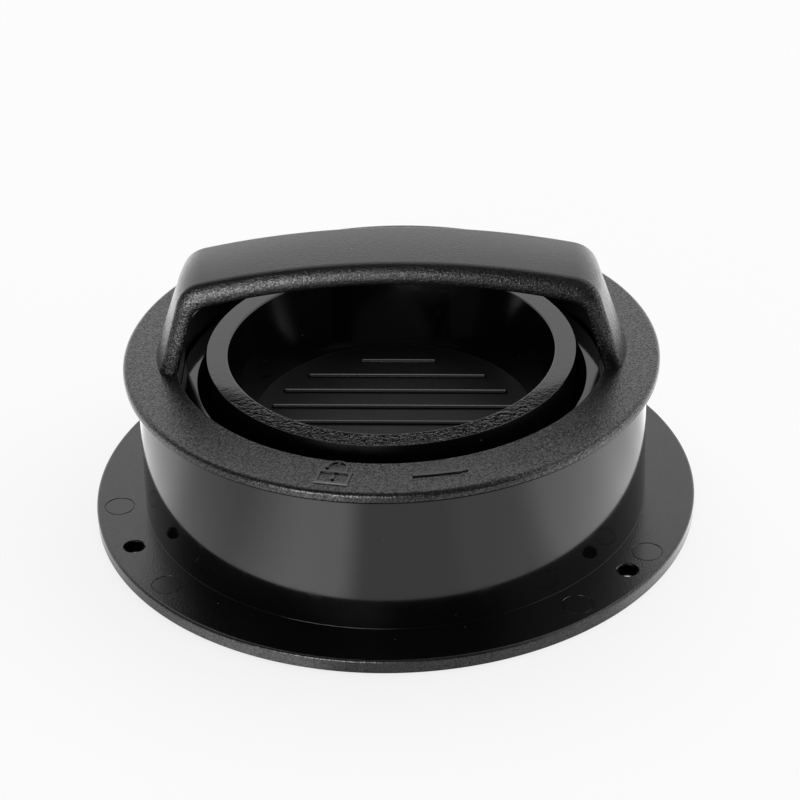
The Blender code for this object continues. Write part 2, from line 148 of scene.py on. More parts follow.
def dust_specks(nt, vec, density, size=900.0):
    """Sparse pale specks: the brightest cells of a Voronoi field."""
    v = node(nt, "ShaderNodeTexVoronoi")
    v.inputs["Scale"].default_value = size
    nt.links.new(vec, v.inputs["Vector"])
    sep = node(nt, "ShaderNodeSeparateColor")
    nt.links.new(v.outputs["Color"], sep.inputs["Color"])
    pick = remap(nt, sep.outputs["Red"], 1.0 - density, 1.0 - density * 0.5, 0.0, 1.0)
    dot = remap(nt, v.outputs["Distance"], 0.10, 0.22, 1.0, 0.0, True)
    return math(nt, 'MULTIPLY', pick, dot)


def plastic(name, base, rough_lo, rough_hi, grain=None, grain_h=0.0, fine=None, fine_h=0.0,
            wave_h=0.0, ior=1.5, specks=0.0, wear=0.0, smudge=0.0, gleam=0.5,
            grit=None, grit_top=0.0, grit_side=0.0, ripple_h=0.0):
    """Moulded black plastic. grain and fine are texture sizes in mm."""
    m, nt, bsdf = new_mat(name)
    vec = coords(nt)
    big = noise(nt, vec, 45.0, 3.0, 0.55, 0.4)
    small = noise(nt, vec, 700.0, 3.0, 0.6)
    rough = remap(nt, big, 0.3, 0.7, rough_lo, rough_hi)
    if smudge:
        rough = math(nt, 'ADD', rough, remap(nt, noise(nt, vec, 160.0, 4.0, 0.65, 1.2),
                                             0.52, 0.72, 0.0, smudge, True))
    lo = tuple(c * 0.82 for c in base)
    hi = tuple(c * 1.22 for c in base)
    col = mix_grey(nt, math(nt, 'MULTIPLY', math(nt, 'ADD', big, small), 0.5), lo, hi)
    if specks:
        n = node(nt, "ShaderNodeMix", data_type='RGBA')
        nt.links.new(dust_specks(nt, vec, specks), n.inputs["Factor"])
        nt.links.new(col, n.inputs["A"])
        n.inputs["B"].default_value = (0.11, 0.11, 0.108, 1.0)
        col = n.outputs["Result"]
    if wear:
        geo = node(nt, "ShaderNodeNewGeometry")
        edge = remap(nt, geo.outputs["Pointiness"], 0.53, 0.60, 0.0, wear, True)
        n = node(nt, "ShaderNodeMix", data_type='RGBA')
        nt.links.new(edge, n.inputs["Factor"])
        nt.links.new(col, n.inputs["A"])
        n.inputs["B"].default_value = (0.06, 0.06, 0.06, 1.0)
        col = n.outputs["Result"]
    nt.links.new(col, bsdf.inputs["Base Color"])
    nt.links.new(rough, bsdf.inputs["Roughness"])
    bsdf.inputs["IOR"].default_value = ior
    bsdf.inputs["Specular IOR Level"].default_value = gleam
    if grit:                                    # glinting pits, weaker on faces that look up
        up = node(nt, "ShaderNodeSeparateXYZ")
        nt.links.new(node(nt, "ShaderNodeNewGeometry").outputs["Normal"], up.inputs["Vector"])
        amp = remap(nt, up.outputs["Z"], 0.55, 0.97, grit_side, grit_top, True)
        pits = remap(nt, noise(nt, vec, 1000.0 / grit, 1.0, 0.5), 0.36, 0.64, -1.0, 1.0)
        nt.links.new(math(nt, 'MULTIPLY', math(nt, 'ADD', math(nt, 'MULTIPLY', pits, amp), 1.0), gleam),
                     bsdf.inputs["Specular IOR Level"])
    nrm = None
    if wave_h:
        nrm = bump(nt, noise(nt, vec, 38.0, 1.0, 0.4), wave_h)
    if grain:
        g = noise(nt, vec, 1000.0 / grain, 2.0, 0.55)
        nrm = bump(nt, g, grain_h, 1.0, nrm)
    if fine:
        f = noise(nt, vec, 1000.0 / fine, 1.0, 0.5)
        nrm = bump(nt, f, fine_h, 1.0, nrm)
    if ripple_h:                                # sink ripples, only at the front of the part
        pos = node(nt, "ShaderNodeSeparateXYZ")
        nt.links.new(vec, pos.inputs["Vector"])
        front = remap(nt, pos.outputs["Y"], -0.020, -0.034, 0.0, 1.0, True)
        nrm = bump(nt, math(nt, 'MULTIPLY', noise(nt, vec, 1000.0, 2.0, 0.6, 0.4), front), ripple_h, 1.0, nrm)
    if nrm is not None:
        nt.links.new(nrm, bsdf.inputs["Normal"])
    return m


M_TEX = plastic("black_spark_texture", (0.0045, 0.0045, 0.0047), 0.19, 0.23,
                grain=0.50, grain_h=0.00010, fine=0.24, fine_h=0.00002, specks=0.012,
                grit=0.46, grit_top=0.55, grit_side=0.60)
M_GRIP = plastic("black_grip_texture", (0.0045, 0.0045, 0.0047), 0.19, 0.23,
                 grain=0.48, grain_h=0.00009, fine=0.24, fine_h=0.00002, specks=0.014,
                 grit=0.43, grit_top=0.06, grit_side=0.62)
M_FLANGE = plastic("black_flange_texture", (0.0026, 0.0026, 0.0027), 0.14, 0.18,
                   grain=0.46, grain_h=0.00006, fine=0.22, fine_h=0.00001, specks=0.006,
                   grit=0.44, grit_top=0.10, grit_side=0.35)
M_GLOSS = plastic("black_polished", (0.0024, 0.0024, 0.0025), 0.07, 0.11,
                  wave_h=0.00002, smudge=0.05, specks=0.003)
# bore, neck, foot pads and outer cone: a matte finish, with the colour darkened and the reflection almost removed as
# painted shade in the gaps under the ring
M_BORE_PAINTED_SHADE = plastic("black_bore_painted_shade", (0.0018, 0.0018, 0.0019), 0.30, 0.38,
                 wave_h=0.00002, specks=0.003, gleam=0.04)
M_RIM = plastic("black_polished_rim", (0.0026, 0.0026, 0.0027), 0.10, 0.14,
                wave_h=0.00003, grain=1.5, grain_h=0.00003, smudge=0.06, specks=0.004, ripple_h=0.00015)
M_SATIN = plastic("black_satin_floor", (0.0026, 0.0028, 0.0030), 0.38, 0.46,
                  grain=0.35, grain_h=0.00002, wave_h=0.00002, gleam=0.155)
M_RIB = plastic("black_rib_top", (0.0045, 0.0048, 0.0050), 0.24, 0.30, wave_h=0.00001, gleam=0.95)
M_WITNESS = plastic("black_pin_mark", (0.0024, 0.0024, 0.0025), 0.14, 0.20,
                    grain=0.8, grain_h=0.000015)

# ============================================================ mesh helpers
def link(ob):
    scene.collection.objects.link(ob)
    return ob


def profile(points, default_seg=5):
    """points: (r, z, fillet, zone). A fillet rounds that corner; zone is the material
    index of the surface from this corner to the next."""
    n = len(points)
    closed = not (points[0][0] == 0.0 and points[-1][0] == 0.0)
    out = []
    for i, (r, z, f, zone) in enumerate(points):
        if f <= 0.0 or (not closed and i in (0, n - 1)):
            out.append((r, z, zone))
            continue
        p = Vector((r, z))
        a = Vector(points[i - 1][:2]) - p
        b = Vector(points[(i + 1) % n][:2]) - p
        la, lb = a.length, b.length
        a.normalize(); b.normalize()
        ang = a.angle(b)
        t = f / tan(ang / 2)
        fa, fb = points[i - 1][2], points[(i + 1) % n][2]
        t = min(t, la * f / (f + fa) * 0.98, lb * f / (f + fb) * 0.98)
        f2 = t * tan(ang / 2)
        bis = (a + b).normalized()
        c = p + bis * (f2 / sin(ang / 2))
        s, e = p + a * t, p + b * t
        v0, v1 = s - c, e - c
        a0, a1 = atan2(v0.y, v0.x), atan2(v1.y, v1.x)
        d = a1 - a0
        while d > pi:
            d -= 2 * pi
        while d < -pi:
            d += 2 * pi
        segs = max(2, int(round(abs(d) / radians(90) * default_seg * 1.5 * sqrt(f2))))
        for k in range(segs + 1):
            th = a0 + d * k / segs
            out.append((c.x + f2 * cos(th), c.y + f2 * sin(th),
                        zone if k == segs else points[i - 1][3]))
    return out, closed


def lathe(points, steps=N_TURN, seg=5):
    pts, closed = profile(points, seg)
    bm = bmesh.new()
    rings = []
    for r, z, _ in pts:
        if r < 1e-9:
            rings.append([bm.verts.new((0.0, 0.0, z * MM))])
        else:
            rings.append([bm.verts.new((r * MM * cos(2 * pi * k / steps),
                                        r * MM * sin(2 * pi * k / steps), z * MM))
                          for k in range(steps)])
    m = len(pts)
    for i in range(m if closed else m - 1):
        a, b, zone = rings[i], rings[(i + 1) % m], pts[i][2]
        for k in range(steps):
            k2 = (k + 1) % steps
            if len(a) == 1:
                f = bm.faces.new((a[0], b[k], b[k2]))
            elif len(b) == 1:
                f = bm.faces.new((a[k], b[0], a[k2]))
            else:
                f = bm.faces.new((a[k], b[k], b[k2], a[k2]))
            f.material_index = zone
    bmesh.ops.recalc_face_normals(bm, faces=bm.faces)
    return bm


def to_mesh(bm, name="m"):
    me = bpy.data.meshes.new(name)
    bm.to_mesh(me)
    bm.free()
    return me


def set_zone(bm, zone):
    for f in bm.faces:
        f.material_index = zone
    return bm


def prism(points, z0, z1, zone=0, inset=0.0):
    """A flat outline given as (x, y) in mm, from z0 to z1."""
    bm = bmesh.new()
    lo = [bm.verts.new((x * MM, y * MM, z0 * MM)) for x, y in points]
    hi = [bm.verts.new((x * MM, y * MM, z1 * MM)) for x, y in points]
    n = len(points)
    for i in range(n):
        bm.faces.new((lo[i], lo[(i + 1) % n], hi[(i + 1) % n], hi[i]))
    bm.faces.new(lo[::-1])
    bm.faces.new(hi)
    bmesh.ops.recalc_face_normals(bm, faces=bm.faces)
    return set_zone(bm, zone)


def arc_block(r0, r1, z0, z1, mid, span, zone=0):
    n = max(3, int(round(span / 1.25)))
    a0 = mid - span / 2
    th = [radians(a0 + span * i / n) for i in range(n + 1)]
    pts = [(r1 * cos(t), r1 * sin(t)) for t in th] + [(r0 * cos(t), r0 * sin(t)) for t in th[::-1]]
    bm = prism(pts, z0, z1, zone)
    edges = [e for e in bm.edges if abs((e.verts[0].co - e.verts[1].co).z) > 0.4 * (z1 - z0) * MM
             and e.calc_face_angle(0.0) > radians(40)]
    bmesh.ops.bevel(bm, geom=edges, offset=0.35 * MM, segments=2, affect='EDGES', profile=0.5)
    return set_zone(bm, zone)


def bar(x0, x1, y, w, z_base, z_tip, yaw=0.0, draft=0.0, edge=0.0, zone=0, segs=3):
    """A straight drafted bar along X with rounded tip edges."""
    bm = bmesh.new()
    bmesh.ops.create_cube(bm, size=1.0)
    for v in bm.verts:
        tip = v.co.z > 0
        sx, sy = (1 if v.co.x > 0 else -1), (1 if v.co.y > 0 else -1)
        d = draft if tip else 0.0
        v.co.x = ((x0 + x1) / 2 + sx * ((x1 - x0) / 2 - d)) * MM
        v.co.y = (y + sy * (w / 2 - d)) * MM
        v.co.z = (z_tip if tip else z_base) * MM
    if edge > 0:
        tips = [e for e in bm.edges if all(abs(v.co.z / MM - z_tip) < 1e-4 for v in e.verts)]
        tips += [e for e in bm.edges if abs(e.verts[0].co.z - e.verts[1].co.z) > 0.5 * abs(z_tip - z_base) * MM]
        bmesh.ops.bevel(bm, geom=tips, offset=edge * MM, segments=segs, affect='EDGES', profile=0.5)
    bmesh.ops.transform(bm, matrix=Matrix.Rotation(radians(yaw), 4, 'Z'), verts=bm.verts)
    bmesh.ops.recalc_face_normals(bm, faces=bm.faces)
    return set_zone(bm, zone)


def spot(points, x, y, zone=0, steps=64):
    """A small turned cutter or disc placed at x, y."""
    bm = lathe([(r, z, f, zone) for r, z, f in points], steps, 3)
    bmesh.ops.transform(bm, matrix=Matrix.Translation((x * MM, y * MM, 0.0)), verts=bm.verts)
    return set_zone(bm, zone)


def stroke(path, width, z0, z1, closed=False, draft=0.12, zone=0):
    """A raised line of trapezoid section along a flat path, mm."""
    pts = [Vector(p) for p in path]
    n = len(pts)
    bm = bmesh.new()
    secs = []
    for i, p in enumerate(pts):
        if closed or 0 < i < n - 1:
            d0 = (p - pts[i - 1]).normalized()
            d1 = (pts[(i + 1) % n] - p).normalized()
        elif i == 0:
            d0 = d1 = (pts[1] - p).normalized()
        else:
            d0 = d1 = (p - pts[i - 1]).normalized()
        t = (d0 + d1).normalized()
        nr = Vector((-t.y, t.x))
        k = 1.0 / max(0.35, nr.dot(Vector((-d1.y, d1.x))))
        end = Vector((0.0, 0.0))
        if not closed and i == 0:
            end = t * draft
        if not closed and i == n - 1:
            end = -t * draft
        w0, w1 = width / 2 * k, (width / 2 - draft) * k
        q = [(p + nr * w0, z0), (p + nr * w1 + end, z1), (p - nr * w1 + end, z1), (p - nr * w0, z0)]
        secs.append([bm.verts.new((c.x * MM, c.y * MM, z * MM)) for c, z in q])
    m = len(secs)
    for i in range(m if closed else m - 1):
        a, b = secs[i], secs[(i + 1) % m]
        for k in range(4):
            bm.faces.new((a[k], a[(k + 1) % 4], b[(k + 1) % 4], b[k]))
    if not closed:
        bm.faces.new(secs[0])
        bm.faces.new(secs[-1][::-1])
    bmesh.ops.recalc_face_normals(bm, faces=bm.faces)
    return set_zone(bm, zone)


def join(bms):
    out = bmesh.new()
    for b in bms:
        me = to_mesh(b)
        out.from_mesh(me)
        bpy.data.meshes.remove(me)
    return out


def boolean(ob, bms, operation, mats):
    """Join several separate solids to ob, or cut them from it, and keep the result."""
    me = to_mesh(join(bms), "tool")
    for mt in mats:
        me.materials.append(mt)
    other = link(bpy.data.objects.new("tool", me))
    mod = ob.modifiers.new("b", 'BOOLEAN')
    mod.operation = operation
    mod.solver = 'EXACT'
    mod.object = other
    bpy.context.view_layer.update()
    deps = bpy.context.evaluated_depsgraph_get()
    new = bpy.data.meshes.new_from_object(ob.evaluated_get(deps))
    old = ob.data
    ob.modifiers.clear()
    ob.data = new
    bpy.data.meshes.remove(old)
    bpy.data.objects.remove(other, do_unlink=True)
    bpy.data.meshes.remove(me)


def piece(name, bm, mats, body, cad, slot):
    me = to_mesh(bm, name)
    for mt in mats:
        me.materials.append(mt)
    ob = link(bpy.data.objects.new(name, me))
    return ob


def finish_piece(ob, body, cad, angle=28.0):
    bm = bmesh.new()
    bm.from_mesh(ob.data)
    bmesh.ops.remove_doubles(bm, verts=bm.verts, dist=1e-6)
    bmesh.ops.dissolve_degenerate(bm, edges=bm.edges, dist=1e-6)
    bm.to_mesh(ob.data)
    bm.free()
    ob.data.shade_smooth()
    ob.data.set_sharp_from_angle(angle=radians(angle))
    mod = ob.modifiers.new("flat_faces_lead", 'WEIGHTED_NORMAL')
    mod.mode = 'FACE_AREA'
    mod.weight = 50
    mod.keep_sharp = True
    bpy.context.view_layer.update()
    new = bpy.data.meshes.new_from_object(ob.evaluated_get(bpy.context.evaluated_depsgraph_get()))
    old = ob.data
    ob.modifiers.clear()
    ob.data = new
    bpy.data.meshes.remove(old)
    ob.data.name = ob.name
    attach(ob, body)
    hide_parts(cad)
    return ob


def polar(r, a):
    return r * cos(radians(a)), r * sin(radians(a))


def ridge_rows(radius, clear_of, yaw, z_base, z_tip, zone=0, rows=7):
    out = []
    for k in range(-rows, rows + 1):
        y = k * RIDGE_PITCH
        if abs(y) > radius - 6:
            continue
        x1 = sqrt(radius ** 2 - y ** 2) - 1.0
        x0 = sqrt(clear_of ** 2 - y ** 2) + 1.0 if clear_of > abs(y) else 0.0
        if x0 > 0.0:
            if x1 - x0 > 3.0:
                out.append(bar(x0, x1, y, RIDGE_W, z_base, z_tip, yaw, 0.35, 0.22, zone))
                out.append(bar(-x1, -x0, y, RIDGE_W, z_base, z_tip, yaw, 0.35, 0.22, zone))
        else:
            out.append(bar(-x1, x1, y, RIDGE_W, z_base, z_tip, yaw, 0.35, 0.22, zone))
    return out


# ============================================================ base mould
# zones: 0 polished, 1 textured flange, 2 pin witness marks
base_mats = [M_GLOSS, M_FLANGE, M_WITNESS]
base = piece("base_shell", lathe([
    (BORE_R_TOP, WALL_TOP_Z, 0.35, 0), (WALL_R_TOP, WALL_TOP_Z, 0.35, 0),
    (WALL_R_FOOT, FLANGE_T, 0.10, 1), (FLANGE_R, FLANGE_T, 0.75, 1),
    (FLANGE_R, 0.0, 0.45, 1), (LEDGE_R, 0.0, 0.4, 0), (LEDGE_R, LEDGE_T, 0.3, 0),
    (BORE_R_FOOT, LEDGE_T, 0.4, 0)]), base_mats, "base", "base_mould", "base")
cuts = []
for a in HOLE_ANGLES:
    x, y = polar(HOLE_R, a)
    h = HOLE_D / 2
    cuts.append(spot([(0.0, 4.4, 0), (h + 0.9, 4.4, 0), (h + 0.32, FLANGE_T + 0.06, 0), (h, FLANGE_T - 0.26, 0.12),
                      (h, -0.45, 0), (0.0, -0.45, 0)], x, y, 0, 56))
boolean(base, cuts, 'DIFFERENCE', base_mats)
marks = []
for a in PIN_ANGLES:
    x, y = polar(PIN_R, a)
    h = PIN_D / 2
    marks.append(spot([(0.0, 4.2, 0), (h + 0.08, 4.2, 0), (h + 0.06, FLANGE_T + 0.03, 0), (h - 0.05, FLANGE_T - 0.15, 0),
                       (h - 0.20, FLANGE_T - 0.15, 0), (h - 0.28, FLANGE_T - 0.03, 0),
                       (0.0, FLANGE_T - 0.03, 0)], x, y, 2, 72))
boolean(base, marks, 'DIFFERENCE', base_mats)
finish_piece(base, "base", "base_mould")

# ============================================================ base plate
plate = piece("plate_disc", lathe([
    (0.0, PLATE_Z1, 0, 0), (PLATE_R, PLATE_Z1, 0.5, 0), (PLATE_R, PLATE_Z0, 0.3, 0),
    (PLATE_RIM_R, PLATE_Z0, 0.3, 0), (PLATE_RIM_R, PLATE_RIM_Z, 0.4, 0),
    (PLATE_RIM_R - PLATE_RIM_T, PLATE_RIM_Z, 0.4, 0), (PLATE_RIM_R - PLATE_RIM_T, PLATE_Z0, 0.3, 1),
    (0.0, PLATE_Z0, 0, 1)]), [M_GLOSS, M_SATIN], "plate", "base_plate", "plate")
boolean(plate, ridge_rows(57.0, 0.0, 0.0, PLATE_Z1 - 0.8, PLATE_Z1 + RIDGE_H), 'UNION', [M_GLOSS, M_SATIN])
finish_piece(plate, "plate", "base_plate")


# ============================================================ large press
def cup_out(z):
    slope = (CUP_MOUTH_R - CUP_FLOOR_R) / (RIM_Z - CUP_FLOOR_Z)
    return CUP_FLOOR_R + CUP_WALL + slope * (z - CUP_FLOOR_Z)


press = piece("large_press_shell", lathe([
    (SKIRT_R - SKIRT_T, SKIRT_TOP_Z, 0.3, 0), (SKIRT_R, SKIRT_TOP_Z, 0.4, 0),
    (SKIRT_R, PRESS_Z0, 0.7, 0), (cup_out(PRESS_Z0) + CUP_GAP, PRESS_Z0, 0.4, 0),
    (cup_out(COLLAR_TOP_Z) + CUP_GAP, COLLAR_TOP_Z, 0.3, 0),
    (cup_out(COLLAR_TOP_Z) + CUP_GAP + 1.8, COLLAR_TOP_Z, 0.4, 1),
    (cup_out(PRESS_Z0 + PRESS_T) + CUP_GAP + 2.0, PRESS_Z0 + PRESS_T, 0.6, 1),
    (SKIRT_R - SKIRT_T, PRESS_Z0 + PRESS_T, 0.6, 0)]), [M_GLOSS, M_SATIN],
    "large_press", "outer_press", "press")
for op in ([arc_block(57.8, SKIRT_R - SKIRT_T + 0.6, 33.2, 37.2, a - TAB_SPAN / 2 - 0.3, 2.4) for a in TAB_ANGLES],
           [arc_block(57.6, SKIRT_R - SKIRT_T + 0.7, 36.6, 38.4, a, TAB_SPAN) for a in TAB_ANGLES],
           [bar(43.0, 59.8, 0.0, 1.4, PRESS_Z0 + PRESS_T - 0.7, 29.2, 15.0 + 30.0 * k, 0.15, 0.2, 1) for k in range(12)],
           ridge_rows(60.0, cup_out(PRESS_Z0) + CUP_GAP, 0.0, PRESS_Z0 + 0.7, PRESS_Z0 - RIDGE_H)):
    boolean(press, op, 'UNION', [M_GLOSS, M_SATIN])
finish_piece(press, "large_press", "outer_press")

# ============================================================ handle ring
# zones: 0 textured ring, 1 bore and neck, darkened as painted shade, 2 smooth tops of the raised marks, 3 grip
ring_mats = [M_TEX, M_BORE_PAINTED_SHADE, M_WITNESS, M_GRIP]
ring = piece("handle_grip", lathe([
    (RING_BORE_R, RING_TOP_Z, 0.22, 0), (RING_R, RING_TOP_Z, RING_EDGE_R, 0),
    (RING_R, RING_EDGE_Z + 0.62, 0.12, 0), (RING_R - 0.36, RING_EDGE_Z, 0.12, 0), (RING_R - RING_EDGE_T, RING_EDGE_Z, 0.3, 1),
    (RING_R - RING_EDGE_T - 0.1, RING_Z0, 0.15, 1), (NECK_R1, RING_Z0, 0.3, 1), (NECK_R1, NECK_Z, 0.3, 1),
    (NECK_R0, NECK_Z, 0.3, 1), (NECK_R0, LIP_Z, 0.2, 1), (RING_BORE_R, LIP_Z, 0.3, 1)], seg=6),
    ring_mats, "handle", "handle_ring", "handle")


def fillet_path(foot, slope, arc_z, arc_r, fillet, n_leg, n_fillet, n_arc):
    cz, ln, rr = arc_z - arc_r, hypot(1.0, slope), arc_r - fillet
    lo, hi = RING_TOP_Z, arc_z
    for _ in range(60):
        z = 0.5 * (lo + hi)
        x = foot - slope * (z - RING_TOP_Z) - fillet * ln
        if hypot(x, z - cz) > rr:
            hi = z
        else:
            lo = z
    a0, a1 = atan2(slope, 1.0), atan2(z - cz, x)
    top = z + fillet * sin(a0)
    pts = []
    for i in range(n_leg):
        zz = RING_TOP_Z + (top - RING_TOP_Z) * i / n_leg
        pts.append((foot - slope * (zz - RING_TOP_Z), zz))
    for i in range(n_fillet + 1):
        a = a0 + (a1 - a0) * i / n_fillet
        pts.append((x + fillet * cos(a), z + fillet * sin(a)))
    for i in range(1, n_arc + 1):
        a = a1 + (pi / 2 - a1) * i / n_arc
        pts.append((arc_r * cos(a), cz + arc_r * sin(a)))
    return pts


def half_width(z):
    t = min(max((ARCH_TOP_Z - z) / (ARCH_TOP_Z - RING_TOP_Z), 0.0), 1.0)
    return ARCH_W_TOP + (ARCH_W_FOOT - ARCH_W_TOP) * t


def arch_half(w_o, w_i, t, crown, fall):
    """Half of the strap section as (half width, height above the inner face): a nearly flat
    top, a round shoulder, a slightly convex side and a shallow hollow underneath. fall is the
    part of the crown that is lost before the shoulder."""
    te = t + crown * (1 - fall)
    r1 = min(1.8, 0.34 * te)
    a1, a2 = radians(32.0), radians(-10.0)
    r2 = (te - r1 + r1 * sin(a1) - 0.42) / (sin(a1) - sin(a2))
    flat = w_o - r1 * cos(a1) - r2 * (1 - cos(a1))
    pts = [(flat * k / 8, t + crown * (1 - fall * (k / 8) ** 2)) for k in range(8)]
    for k in range(8):
        a = pi / 2 + (a1 - pi / 2) * k / 7
        pts.append((flat + r1 * cos(a), te - r1 + r1 * sin(a)))
    y1, z1 = pts[-1]
    for k in range(1, 10):
        a = a1 + (a2 - a1) * k / 9
        pts.append((y1 + r2 * (cos(a) - cos(a1)), z1 + r2 * (sin(a) - sin(a1))))
    y2 = pts[-1][0]
    for k in range(1, 5):                      # tight lower edge
        a = (pi / 2) * k / 4
        pts.append((y2 - 0.38 * (1 - cos(a)), 0.42 - 0.42 * sin(a)))
    pts = [(y + (w_i - w_o) * (1 - z / te), z) for y, z in pts]
    yc = pts[-1][0] + 0.38 - ARCH_LIP
    d = max(0.15, min(t - ARCH_FLOOR, ARCH_HOLLOW))
    pts += [(yc + 0.12, 0.0), (yc, min(0.12, 0.3 * d)), (yc - 0.1, 0.75 * d), (yc - 0.3, 0.93 * d),
            (yc - 0.65, d), (yc * 0.55, d), (yc * 0.15, d)]
    return pts


NL, NF, NA = ((12, 16, 30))
outer = fillet_path(ARCH_FOOT_X_OUT, ARCH_SLOPE_OUT, ARCH_TOP_Z, ARCH_R_OUT, ARCH_FILLET_OUT, NL, NF, NA)
inner = fillet_path(ARCH_FOOT_X_IN, ARCH_SLOPE_IN, ARCH_IN_Z, ARCH_R_IN, ARCH_FILLET_IN, NL, NF, NA)
outer = [(55.4, FOOT_PAD_Z), (55.4, RING_TOP_Z - 1.6), (ARCH_FOOT_X_OUT, RING_TOP_Z - 1.2)] + outer
inner = [(ARCH_FOOT_X_IN, FOOT_PAD_Z), (ARCH_FOOT_X_IN, RING_TOP_Z - 1.6), (ARCH_FOOT_X_IN, RING_TOP_Z - 1.2)] + inner
secs = []
for (ox, oz), (ix, iz) in zip(outer, inner):
    t = hypot(ox - ix, oz - iz)
    nx, nz = (ox - ix) / t, (oz - iz) / t
    high = min(max((oz - RING_TOP_Z) / (ARCH_TOP_Z - RING_TOP_Z), 0.0), 1.0)
    crown = ARCH_CROWN_FOOT + (ARCH_CROWN_TOP - ARCH_CROWN_FOOT) * high
    if oz < RING_TOP_Z - 1.4:
        crown = 0.3
    hp = arch_half(half_width(oz), half_width(iz), t, crown, 1.0 - 0.7 * high ** 2)
    loop = hp + [(-y, d) for y, d in hp[:0:-1]]
    secs.append([(ix + nx * d, y, iz + nz * d) for y, d in loop])
secs = secs + [[(-x, y, z) for x, y, z in s] for s in secs[-2::-1]]
bm = bmesh.new()
loops = [[bm.verts.new((x * MM, y * MM, z * MM)) for x, y, z in s] for s in secs]
cnt = len(loops[0])
for a, b in zip(loops, loops[1:]):
    for k in range(cnt):
        bm.faces.new((a[k], a[(k + 1) % cnt], b[(k + 1) % cnt], b[k]))
bm.faces.new(loops[0])
bm.faces.new(loops[-1][::-1])
bmesh.ops.recalc_face_normals(bm, faces=bm.faces)
boolean(ring, [set_zone(bm, 3)], 'UNION', ring_mats)
# bayonet lugs, tabs and stops
boolean(ring, [arc_block(NECK_R1 - 0.7, 58.6, 33.6, 36.2, a, LUG_SPAN, 1) for a in TAB_ANGLES], 'UNION', ring_mats)
boolean(ring, [arc_block(54.0, NECK_R0 + 0.7, NECK_Z + 0.1, 34.4, a, TAB_SPAN, 1) for a in TAB_ANGLES], 'UNION', ring_mats)
boolean(ring, [arc_block(54.2, NECK_R0 + 0.6, 33.7, 36.6, a + TAB_SPAN / 2 + 0.3, 2.4, 1) for a in TAB_ANGLES], 'UNION', ring_mats)
# raised marks: a plain open padlock and the turning arrow
Z0, Z1 = RING_TOP_Z - 0.3, RING_TOP_Z + 0.38
arrow = stroke([(5.9, -60.0), (11.5, -59.3), (17.1, -58.25)], 1.25, Z0, Z1, False, 0.16, 2)
barb = stroke([(16.2, -58.9), (18.9, -57.5)], 0.85, Z0, Z1 - 0.05, False, 0.14, 2)
LOCK_AZ, LOCK_R = radians(-11.6), 59.6


def on_ring(u, v):
    """u along the ring, v towards its centre, from the padlock's middle."""
    sa, ca = sin(LOCK_AZ), cos(LOCK_AZ)
    return (LOCK_R * sa + u * ca - v * sa, -LOCK_R * ca + u * sa + v * ca)


body = stroke([on_ring(u, v) for u, v in ((-3.7, -4.3), (3.7, -4.3), (3.7, 0.2), (-3.7, 0.2))],
              0.95, Z0, Z1, True, 0.16, 2)
shackle = stroke([on_ring(u, v) for u, v in [(2.4, 0.2), (2.4, 2.3)] +
                  [(2.4 * cos(radians(a)), 2.4 + 2.3 * sin(radians(a))) for a in range(15, 166, 15)] +
                  [(-2.4, 2.3), (-2.4, 1.6)]], 0.95, Z0, Z1, False, 0.16, 2)
key = stroke([on_ring(0.0, -1.1), on_ring(0.0, -3.0)], 0.95, Z0, Z1, False, 0.16, 2)
for b in ([arrow], [barb], [body], [shackle], [key]):
    boolean(ring, b, 'UNION', ring_mats)
# grip faces below the ring top take the bore's painted shade
for f in ring.data.polygons:
    if f.material_index == 3 and f.center.z < (RING_TOP_Z - 1.0) * MM:
        f.material_index = 1
finish_piece(ring, "handle", "handle_ring", 30.0)

# ============================================================ centre press
# zones: 0 polished, 1 satin floor, 2 rim, 3 rib, 4 matt outside cone, darkened as painted shade
cup_mats = [M_GLOSS, M_SATIN, M_RIM, M_RIB, M_BORE_PAINTED_SHADE]
cup = piece("centre_press_cup", lathe([
    (0.0, CUP_FLOOR_Z, 0, 1), (CUP_FLOOR_R, CUP_FLOOR_Z, 0.12, 0),
    (CUP_MOUTH_R, RIM_Z, 0.45, 2), (RIM_R, RIM_Z, 0.16, 4), (SHELF_R0, SHELF_Z, 0.35, 0),
    (SHELF_R1, SHELF_Z, 0.3, 0), (SHELF_R1, SHELF_Z - SHELF_T, 0.3, 0),
    (SHELF_R0 - 1.5, SHELF_Z - SHELF_T, 0.4, 0), (RIM_R - 1.3, RIM_Z - 2.2, 0.4, 0),
    (cup_out(RIM_Z - 2.2), RIM_Z - 2.2, 0.4, 0), (cup_out(PRESS_Z0), PRESS_Z0, 0.4, 0),
    (0.0, PRESS_Z0, 0, 0)], seg=6), cup_mats, "small_press", "centre_press", "centre")
boolean(cup, [arc_block(SHELF_R1 - 0.8, 55.3, SHELF_Z - SHELF_T + 0.1, SHELF_Z - 0.1, a + CUP_YAW, LUG_SPAN)
              for a in TAB_ANGLES], 'UNION', cup_mats)
boolean(cup, [bar(41.0, 46.2, 0.0, 1.4, 36.4, RIM_Z - 1.6, CUP_YAW + 22.5 + 45.0 * k) for k in range(8)],
        'UNION', cup_mats)
boolean(cup, ridge_rows(cup_out(PRESS_Z0) - 0.4, 0.0, CUP_YAW, PRESS_Z0 + 0.7, PRESS_Z0 - RIDGE_H), 'UNION', cup_mats)
ribs = []
for k in range(-4, 4):
    y = (k + 0.5) * RIDGE_PITCH
    x = RIB_X * sqrt(1.0 - (y / RIB_Y) ** 2)
    ribs.append(bar(-x, x, y, 1.55, CUP_FLOOR_Z - 0.7, CUP_FLOOR_Z + 0.75, CUP_YAW, 0.06, 0.68, 3, 6))
boolean(cup, ribs, 'UNION', cup_mats)
finish_piece(cup, "small_press", "centre_press")
